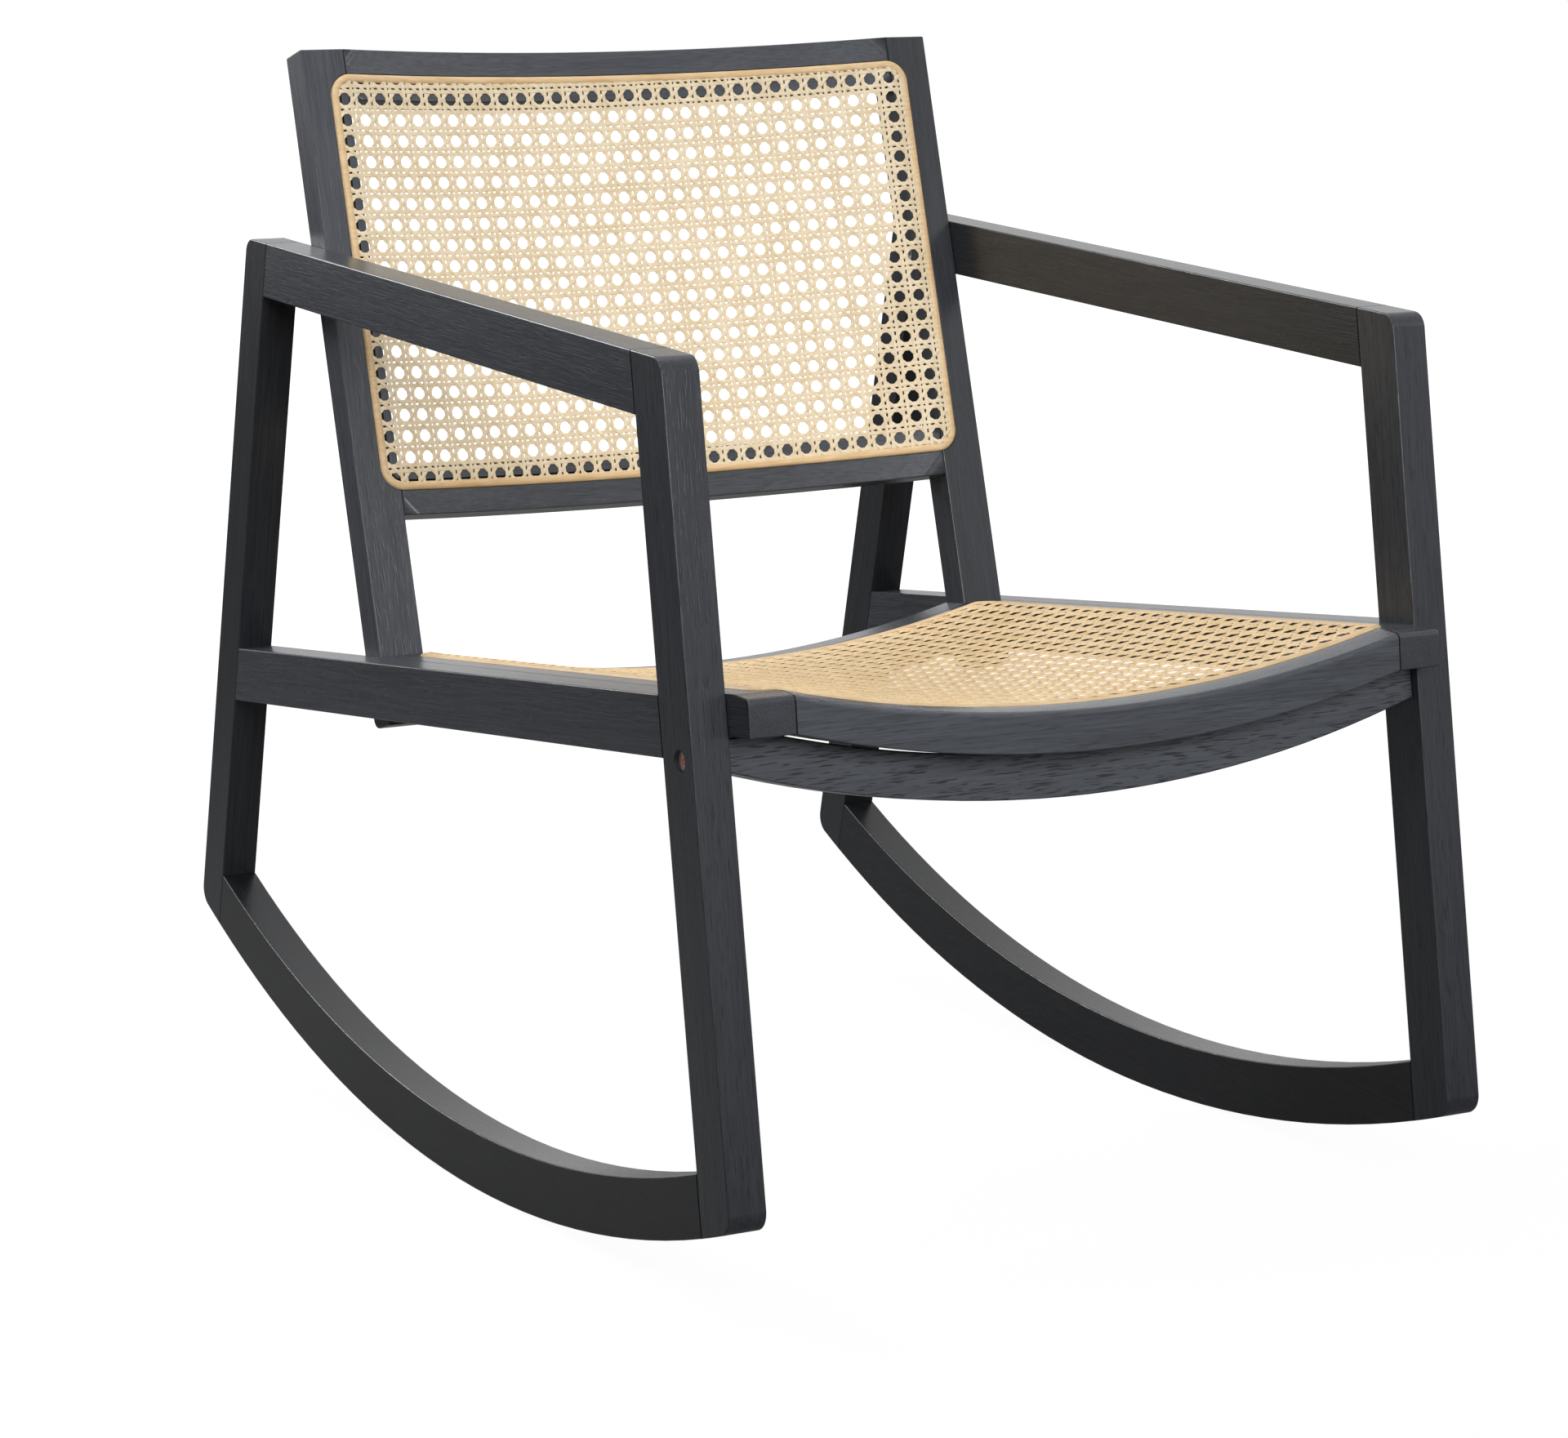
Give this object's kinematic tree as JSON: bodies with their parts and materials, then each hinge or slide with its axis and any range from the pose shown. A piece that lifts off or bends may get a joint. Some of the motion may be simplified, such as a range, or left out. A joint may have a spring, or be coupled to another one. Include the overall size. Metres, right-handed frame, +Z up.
{
  "type": "rocking chair",
  "caption": "Rocking chair with squared open side frames on curved rockers, a dished woven cane seat and a hollowed woven cane back in dark stained wooden frames.",
  "frame": {"origin": "On the floor, under the centre of the chair's overall box", "axes": "+Z up, -Y towards the front of the chair, +X to the right as seen from the front"},
  "size_m": [0.5792, 0.8712, 0.7747],
  "materials": {
    "stained_wood": "satin black stain over open grain",
    "cane": "natural woven cane",
    "reed": "natural smooth reed",
    "bolt_metal": "coppery plated, satin",
    "plated_steel": "zinc plated",
    "beech": "raw beech dowel"
  },
  "bodies": {
    "root": {"front_leg_left": "stained_wood", "front_leg_right": "stained_wood", "rear_leg_left": "stained_wood", "rear_leg_right": "stained_wood", "arm_left": "stained_wood", "arm_right": "stained_wood", "side_rail_left": "stained_wood", "side_rail_right": "stained_wood", "rocker_left": "stained_wood", "rocker_right": "stained_wood", "front_stretcher": "stained_wood", "stretcher_bolts": "bolt_metal", "barrel_nuts": "plated_steel", "back_post_left": "stained_wood", "back_post_right": "stained_wood", "back_top_rail": "stained_wood", "back_bottom_rail": "stained_wood", "back_cross_rail": "stained_wood", "back_cane": "cane", "back_reed": "reed", "seat_stile_left": "stained_wood", "seat_stile_right": "stained_wood", "seat_front_rail": "stained_wood", "seat_rear_rail": "stained_wood", "seat_cane": "cane", "seat_reed": "reed", "post_bolts": "plated_steel", "post_sleeves": "plated_steel", "seat_bolts": "plated_steel", "seat_sleeves": "plated_steel", "frame_dowels_left": "beech", "frame_dowels_right": "beech", "back_dowels": "beech", "seat_dowels": "beech"}
  },
  "joints": []
}
